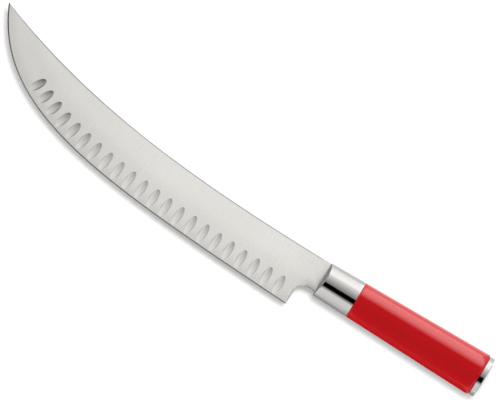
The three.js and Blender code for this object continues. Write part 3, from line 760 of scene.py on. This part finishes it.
# A cup with a slot for the tang, whose front faces are left open by the rings and filled here.
def makeBolster():
    ease, jointEase, wall, sides = bolster["ease"], bolster["jointEase"], bolster["wall"], handle["sides"]
    corner = ease * handle["cornerShare"]
    rings = [facetRing(ease, 0), facetRing(corner, corner), facetRing(0, ease)]
    plainStart, plainEnd = bolster["fall"] + bolster["plainStart"], bolsterLength - jointEase
    rings += [ovalRing(x) for x in np.linspace(plainStart, plainEnd, bolster["plainRings"])]
    rings += [ovalRing(bolsterLength, jointEase), ovalRing(bolsterLength, wall),
              ovalRing(bolster["frontWall"], wall)]
    floor, corners = (len(rings) - 1) * sides, len(rings) * sides
    y, z = bolster["slot"], bolster["land"]
    slot = np.array([(x, a, b) for x in (0, bolster["frontWall"])
                     for a, b in ((y, z), (-y, z), (-y, -z), (y, -z))])
    upper = [k for k in range(sides) if rings[0][k][2] > z]
    lower = [k for k in range(sides) if rings[0][k][2] < -z]
    spineSide = range(lower[-1] - sides, upper[0] + 1)
    edgeSide = range(upper[-1], lower[0] + 1)

    # the front round the slot, the slot's walls and the cup's floor
    a, b, c, d = range(corners, corners + 4)
    faces = [[*reversed(upper), a, b], [*reversed(lower), c, d]]
    faces += [[*(k % sides for k in reversed(spineSide)), d, a], [*reversed(edgeSide), b, c]]
    for here, beside in ((a, b), (b, c), (c, d), (d, a)):
        faces.append((beside, here, here + 4, beside + 4))
    half = sides // 2
    faces += [
        [floor + k for k in range(0, half + 1)] + [b + 4, a + 4],
        [floor + k % sides for k in range(half, sides + 1)] + [d + 4, c + 4],
        (floor, a + 4, d + 4),
        (floor + half, c + 4, b + 4),
    ]
    mesh = skinRings(rings, mirrorSteel, False, faces, [slot])
    mouth = mesh.attributes.new("mouth", "FLOAT", "FACE")
    mouth.data.foreach_set("value", [float(p.normal.x < -bolster["mouthFacing"]) for p in mesh.polygons])
    return mesh


bolsterPiece = addPiece("polishedBolster", makeBolster(), "bolster", handle["sharpAngle"])
bolsterPiece.visible_glossy = False  # keeps its dull front, painted dark, out of the blade's sheen


grip = dict(
    wall=3.2,
    jointEase=0.25,
    rearRound=1.8,
    roundSteps=8,
    plainRings=29,
    keyWidth=4.7,
    keyDepth=0.8,
    keysAt=(47.73, 70.87),
)


# A skin with a rounded rear and two rings inside that lock it to the core.
def makeGrip():
    ease, wall, key = grip["jointEase"], grip["wall"], grip["wall"] + grip["keyDepth"]
    corner = ease * handle["cornerShare"]
    plainStart, plainEnd = bolsterLength + ease, handleRear - grip["rearRound"]
    rings = [ovalRing(bolsterLength, ease), ovalRing(bolsterLength + corner, corner)]
    rings += [ovalRing(x) for x in np.linspace(plainStart, plainEnd, grip["plainRings"], endpoint=False)]
    rings += roundedRear(handleRear, 0, grip["rearRound"], grip["roundSteps"])
    rings.append(ovalRing(handleRear, wall))
    for middle in reversed(grip["keysAt"]):
        front, rear = middle - grip["keyWidth"] / 2, middle + grip["keyWidth"] / 2
        rings += [ovalRing(rear, wall), ovalRing(rear, key), ovalRing(front, key), ovalRing(front, wall)]
    rings.append(ovalRing(bolsterLength, wall))
    return skinRings(rings, redAcetal, True)


gripPiece = addPiece("mouldedGrip", makeGrip(), "grip", handle["sharpAngle"])


cap = dict(
    rim=3.2,
    dome=1.0,
    domeSteps=14,
    step=0.75,
    round=0.35,
    roundSteps=5,
    spigot=8.0,
    spigotInset=3.35,
    spigotWall=2.6,
    groove=(1.5, 4.75),  # width and the inset of its floor
)


# A low dome on a rim, and a hollow spigot with the seal's groove.
def makeEndCap():
    front, rimRear = handleRear - cap["spigot"], handleRear + cap["rim"]
    outer, inner = cap["spigotInset"], cap["spigotInset"] + cap["spigotWall"]
    width, floor = cap["groove"]
    middle = handleRear - cap["spigot"] / 2
    grooveFront, grooveRear = middle - width / 2, middle + width / 2
    rings = [ovalRing(handleRear, inner, 0), ovalRing(handleRear, inner), ovalRing(front, inner)]
    rings += [ovalRing(front, outer), ovalRing(grooveFront, outer), ovalRing(grooveFront, floor)]
    rings += [ovalRing(grooveRear, floor), ovalRing(grooveRear, outer), ovalRing(handleRear, outer)]
    rings.append(ovalRing(handleRear, cap["step"]))
    rings += roundedRear(rimRear, cap["step"], cap["round"], cap["roundSteps"])
    for step in range(cap["domeSteps"]):
        shrink = 1 - (step + 1) / cap["domeSteps"]
        rise = cap["dome"] * (1 - shrink * shrink)
        rings.append(ovalRing(rimRear + rise, cap["step"] + cap["round"], shrink))
    return skinRings(rings, mirrorSteel, False)


addPiece("polishedEndCap", makeEndCap(), "end_cap", handle["sharpAngle"])


# CAD nodes that stay as they are

keptNodes = {
    "grip_core": blackNylon,
    "tang_stud": zincSteel,
    "flat_washer": zincSteel,
    "spring_washer": zincSteel,
    "clamp_nut": zincSteel,
    "cap_seal": sealRubber,
}
for name, material in keptNodes.items():
    for slot in cadNodes[name].material_slots:
        slot.material = material
print("finishes given to", len(keptNodes), "inner pieces")


# Studio

studio = dict(
    domeStops=((-1.0, 0.2), (-0.7, 0.12), (-0.55, 0.1), (-0.45, 0.17), (-0.38, 0.42), (-0.3, 0.62),
               (-0.2, 0.82), (-0.1, 1.05), (0.0, 1.09), (0.1, 1.2), (0.2, 1.3), (0.3, 1.2), (0.42, 0.35),
               (0.55, 0.1), (1.0, 0.05)),  # light by how far the sky leans to the spine's side
    domeSlant=(0.08, 0.5),  # how far the stops lean along the knife, on the tip's side and on the butt's
    fallAim=(0.87, -0.5, 0.0),  # the dome darkens away from here, towards the tip and the spine
    tipSideFall=((-0.7, -0.25), (0.2, 1.0)),  # between these two places, from this share of its light to that
    heelSideFall=((0.4, 0.7), (1.0, 0.05)),  # and along the knife, towards the butt
    horizon=((0.6, 0.8), 0.8),  # below these rises it gives one even level, for views from the side
    matteLevel=0.8,  # the even light that matt surfaces get from the dome
    backdrop=0.92,
    floorReach=4.0,  # m
    keySide=(0.23, 0.97, 0.0),  # its shadow falls away from the spine
    keyTilt=15.0,  # degrees off the vertical
    keyDistance=1.6,  # m
    keySize=(0.48, 0.48),  # m
    keyPower=16.5,  # W
)
# Fills for the grip, in metres and watts.
fillBoxes = dict(
    spineSoftbox=dict(place=(0.1, 1.25, 0.35), size=(1.2, 0.4), power=9.5),
    edgeSoftbox=dict(place=(0.1, -1.25, 0.15), size=(1.2, 0.3), power=5.0),
)
# Cards that only the reflections see, over or beside the handle, in mm: their run along it and their height
# over its axis, then each one's span from the axis towards the spine's side, and the light at its two ends.
cards = (
    dict(run=(0, 25), height=14, strips=dict(
        bolsterFlag=((-0.5, -4.8), (0.0, 0.0)),
        bolsterFade=((-0.5, 11.4), (0.2, 1.0)),
        bolsterEdgeFade=((-4.8, -9.1), (0.0, 0.77)),
        bolsterEdgeSide=((-9.1, -80), (0.77, 0.62)),
        bolsterEdgeFar=((-80, -1200), (0.6, 0.6)))),
    dict(run=(-6, 25), height=14, strips=dict(
        bolsterPale=((11.4, 70), (1.16, 0.98)),
        bolsterPaleFar=((70, 1200), (0.98, 0.98)))),
    dict(run=(25, 114.2), height=16, strips=dict(gripShade=((7.5, -1200), (0.0, 0.0)))),
    dict(run=(25, 114.2), height=-10.3, strips=dict(gripLow=((-14, -1200), (0.0, 0.05)))),
    dict(run=(25.5, 114), height=-10.3, strips=dict(gripLowGlow=((14, 400), (1.6, 1.8)))),
    dict(run=(114.2, 125), height=16, strips=dict(
        capFlag=((-0.5, -5.8), (0.0, 0.0)),
        capFade=((-0.5, 13.5), (0.18, 0.98)),
        capPale=((13.5, 1200), (1.15, 1.3)),
        capEdgeFade=((-5.8, -10.7), (0.0, 0.77)),
        capEdgeSide=((-10.7, -94), (0.75, 0.59)),
        capEdgeFar=((-94, -1200), (0.57, 0.57)))),
    dict(run=(125, 400), height=16, strips=dict(buttShade=((-45, 45), (0.0, 0.0)))),
    dict(run=(119.2, 400), height=-11, strips=dict(buttLow=((-13, 13), (0.5, 0.75)))),
    dict(run=(-120, 260), height=-10.5, strips=dict(
        lowEdgeSide=((-13, -60), (0.25, 0.53)),
        lowEdgeFar=((-60, -400), (0.55, 0.55)),
        lowSpineSide=((13, 400), (0.66, 1.3)))),
)
# Bent sheets beside the grip that give it its long highlight. Past the grip's ends they start higher, out of
# sight of the bolster and the cap.
highlight = dict(
    runs=((25.5, 114), (2, 25.5), (114, 140)),
    starts=(-8, 20, 20),  # of their upright parts, up from the axis
    lean=1,  # of these parts, away from the grip
    edges=((120, 88, 4.4), (85, 141, 0.6)),  # of their upper parts, from and up from the axis, and the light
)
shot = dict(
    width=500,  # pixels
    pixel=0.6216,  # mm
    centre=(-63.96, 18.61),  # mm
    turn=31.41,  # degrees
    distance=3.6,  # m
    sensor=36,  # mm
)


def makeWorld():
    world = bpy.data.worlds.new("studioDome")
    scene.world = world
    world.use_nodes = True
    world.cycles.sampling_method = "NONE"  # or the dome's light would pass through the cards
    tree = world.node_tree
    tree.nodes.clear()
    direction = addNode(tree, "ShaderNodeTexCoord").outputs["Generated"]
    x, y, z = addNode(tree, "ShaderNodeSeparateXYZ", {0: direction}).outputs

    # a ramp across the knife
    leans = [addNode(tree, "ShaderNodeMath", {0: x, 1: lean}, operation="MULTIPLY")
             for lean in studio["domeSlant"]]
    lean = addNode(tree, "ShaderNodeMath", dict(enumerate(leans)), operation="MAXIMUM")
    across = addNode(tree, "ShaderNodeMath", {0: y, 1: lean}, operation="ADD")
    share = addNode(tree, "ShaderNodeMapRange", {"Value": across, **ends("From", (-1.0, 1.0))})
    ramp = addNode(tree, "ShaderNodeValToRGB", {0: share})
    stops = ramp.color_ramp.elements
    for place, level in studio["domeStops"]:
        stop = stops[0] if place == -1 else stops[-1] if place == 1 else stops.new((place + 1) / 2)
        stop.color = grey(level)

    # darker towards both of the knife's ends
    places, levels = studio["tipSideFall"]
    towards = addNode(tree, "ShaderNodeVectorMath", {
        0: direction, 1: studio["fallAim"]}, operation="DOT_PRODUCT")
    tipFall = addNode(tree, "ShaderNodeMapRange", {
        "Value": towards, **ends("From", places), **ends("To", levels)}, interpolation_type="SMOOTHSTEP")
    places, levels = studio["heelSideFall"]
    heelFall = addNode(tree, "ShaderNodeMapRange", {
        "Value": x, **ends("From", places), **ends("To", levels)})
    falls = addNode(tree, "ShaderNodeMath", {0: tipFall, 1: heelFall}, operation="MULTIPLY")
    dome = addNode(tree, "ShaderNodeMath", {0: ramp, 1: falls}, operation="MULTIPLY")

    # even light near the horizon and on matt surfaces, and a plain backdrop
    rises, horizonLevel = studio["horizon"]
    above = addNode(tree, "ShaderNodeMapRange", {"Value": z, **ends("From", rises)})
    sky = addNode(tree, "ShaderNodeMix", {"Factor": above, "A": horizonLevel, "B": dome})
    rays = addNode(tree, "ShaderNodeLightPath").outputs
    light = addNode(tree, "ShaderNodeMix", {
        "Factor": rays["Is Diffuse Ray"], "A": sky, "B": studio["matteLevel"]})
    shown = addNode(tree, "ShaderNodeMix", {
        "Factor": rays["Is Camera Ray"], "A": light, "B": studio["backdrop"]})
    background = addNode(tree, "ShaderNodeBackground", {"Color": grey(1), "Strength": shown})
    addNode(tree, "ShaderNodeOutputWorld", {0: background})


def addSoftbox(name, place, size, power):
    lamp = bpy.data.lights.new(name, "AREA")
    lamp.shape = "RECTANGLE"
    lamp.size, lamp.size_y = size
    lamp.energy = power
    light = bpy.data.objects.new(name, lamp)
    light.location = place
    light.rotation_euler = (-Vector(place)).to_track_quat("-Z", "Y").to_euler()
    light.visible_glossy = False
    scene.collection.objects.link(light)
    return light


def addSheet(name, corners, material):
    mesh = bpy.data.meshes.new(name)
    mesh.from_pydata(corners, [], [(0, 1, 2, 3)])
    mesh.materials.append(material)
    sheet = bpy.data.objects.new(name, mesh)
    scene.collection.objects.link(sheet)
    return sheet


def addCard(name, corners, levels):
    material, tree = startMaterial(name)
    corners = [axisStart + Vector(corner) * mm for corner in corners]
    place = addNode(tree, "ShaderNodeTexCoord").outputs["Object"]
    across = addNode(tree, "ShaderNodeSeparateXYZ", {0: place}).outputs["Y"]
    level = addNode(tree, "ShaderNodeMapRange", {
        "Value": across, **ends("From", (corners[0].y, corners[2].y)), **ends("To", levels)})
    light = addNode(tree, "ShaderNodeEmission", {"Strength": level})
    material.cycles.emission_sampling = "NONE"  # found by reflections alone, so one card can hide another
    addNode(tree, "ShaderNodeOutputMaterial", {"Surface": light})
    card = addSheet(name, corners, material)
    card.visible_camera = card.visible_diffuse = card.visible_shadow = False


paperFinish = dict(
    dull="f6f6f5",
    bright="fafaf9",
    fibreSize=3.0,  # mm; drawn coarser than real fibres to show
    roughness=0.9,
)


# Uncoated paper from the roll: an even matt white with a trace of its fibres.
def makeMatteWhitePaper():
    finish = paperFinish
    material, tree = startMaterial("matteWhitePaper")
    place = addNode(tree, "ShaderNodeTexCoord").outputs["Object"]
    fibres = addNode(tree, "ShaderNodeTexNoise", {
        "Vector": place, "Scale": 1 / (finish["fibreSize"] * mm), "Detail": 3.0})
    tone = addNode(tree, "ShaderNodeMix", {
        "Factor": fibres, "A": toLinear(finish["dull"]), "B": toLinear(finish["bright"])}, data_type="RGBA")
    closeMaterial(tree, {"Base Color": tone, "Roughness": finish["roughness"]})
    return material


makeWorld()
tilt = math.radians(studio["keyTilt"])
keyAim = Vector(studio["keySide"]) * math.sin(tilt) + Vector((0, 0, math.cos(tilt)))
key = addSoftbox("keySoftbox", studio["keyDistance"] * keyAim, studio["keySize"], studio["keyPower"])
fills = [addSoftbox(name, **box) for name, box in fillBoxes.items()]

# The two fills light the grip alone, from its sides, and the key lights all but the grip.
filled, unkeyed = (bpy.data.collections.new(name) for name in ("filledPieces", "unkeyedPieces"))
for group in (filled, unkeyed):
    group.objects.link(gripPiece)
unkeyed.collection_objects[0].light_linking.link_state = "EXCLUDE"
key.light_linking.receiver_collection = unkeyed
for fill in fills:
    fill.light_linking.receiver_collection = filled
gripPiece.visible_diffuse = False  # keeps its red off the paper

reach = studio["floorReach"]
addSheet("floor", [(-reach, -reach, 0), (reach, -reach, 0), (reach, reach, 0), (-reach, reach, 0)],
         makeMatteWhitePaper())
for group in cards:
    (left, right), height = group["run"], group["height"]
    for name, ((near, far), levels) in group["strips"].items():
        corners = [(left, near, height), (right, near, height), (right, far, height), (left, far, height)]
        addCard(name, corners, levels)
for (left, right), start in zip(highlight["runs"], highlight["starts"]):
    away, rise, level = highlight["edges"][0]
    edges = [(away + highlight["lean"], start, level), *highlight["edges"]]
    for (away, rise, level), (nextAway, nextRise, nextLevel) in zip(edges, edges[1:]):
        corners = [(left, away, rise), (right, away, rise),
                   (right, nextAway, nextRise), (left, nextAway, nextRise)]
        addCard(f"gripHighlight{left}at{rise}", corners, (level, nextLevel))

# The camera looks straight down on the blade's left side, from far off, turned as the photograph is.
lens = bpy.data.cameras.new("camera")
lens.sensor_width = shot["sensor"]
lens.lens = shot["sensor"] * shot["distance"] / (shot["width"] * shot["pixel"] * mm)
camera = bpy.data.objects.new("camera", lens)
camera.location = axisStart + Vector((shot["centre"][0] * mm, shot["centre"][1] * mm, shot["distance"]))
camera.rotation_euler = (0, 0, math.radians(shot["turn"]))
scene.collection.objects.link(camera)
scene.camera = camera
scene.view_settings.view_transform = "Standard"
print("studio set")
